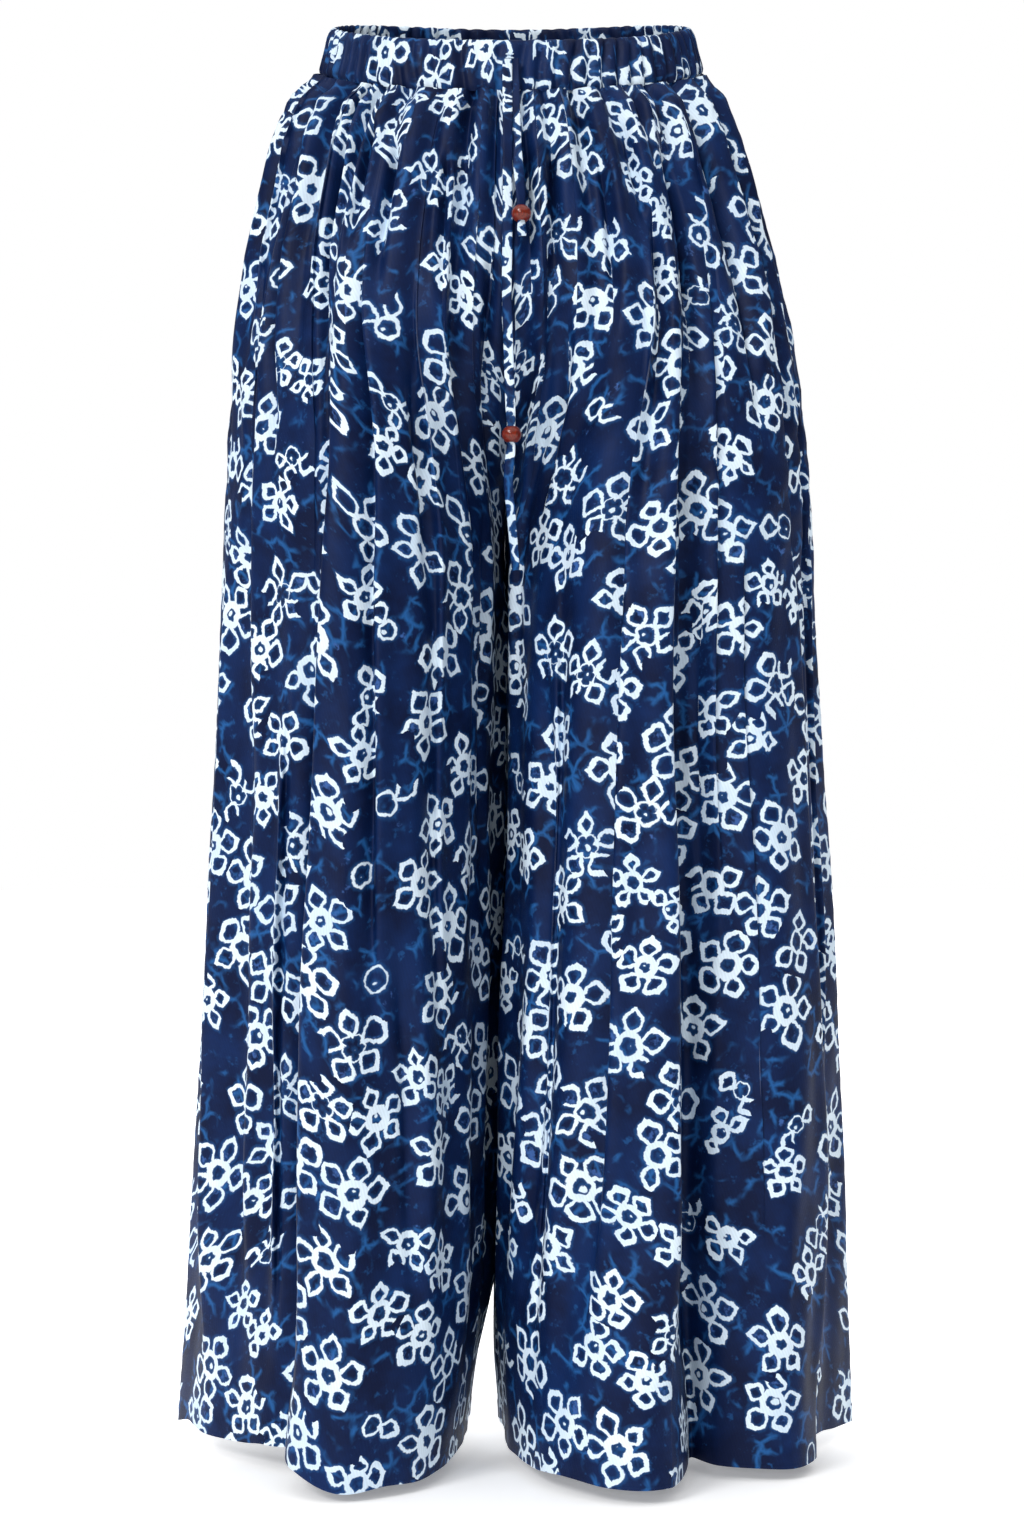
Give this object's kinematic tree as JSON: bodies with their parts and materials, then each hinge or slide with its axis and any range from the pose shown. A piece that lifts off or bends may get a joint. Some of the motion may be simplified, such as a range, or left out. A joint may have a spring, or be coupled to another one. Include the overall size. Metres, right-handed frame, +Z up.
{
  "type": "wide-leg trousers, palazzo cut with open hems, listed as harem pants",
  "caption": "Full wide-leg trousers with a ruched elastic waist, open hems and a beaded drawstring, filled out and hollow.",
  "frame": {"origin": "middle of the waist, half way up the band at its sides, where a body or a hanger holds the garment", "axes": "+Z up, front towards -Y, the wearer's left leg at +X"},
  "size_m": [0.472, 0.3913, 0.9983],
  "materials": {
    "printed_cloth": "smooth fine twill with a soft sheen, indigo with white flowers",
    "stained_wood": "turned, stained red-brown and lacquered"
  },
  "bodies": {
    "root": {"front_right": "printed_cloth", "front_left": "printed_cloth", "back_right": "printed_cloth", "back_left": "printed_cloth", "waistband": "printed_cloth", "drawstring_upper": "printed_cloth", "drawstring_lower": "printed_cloth", "bead_upper": "stained_wood", "bead_lower": "stained_wood"}
  },
  "joints": []
}
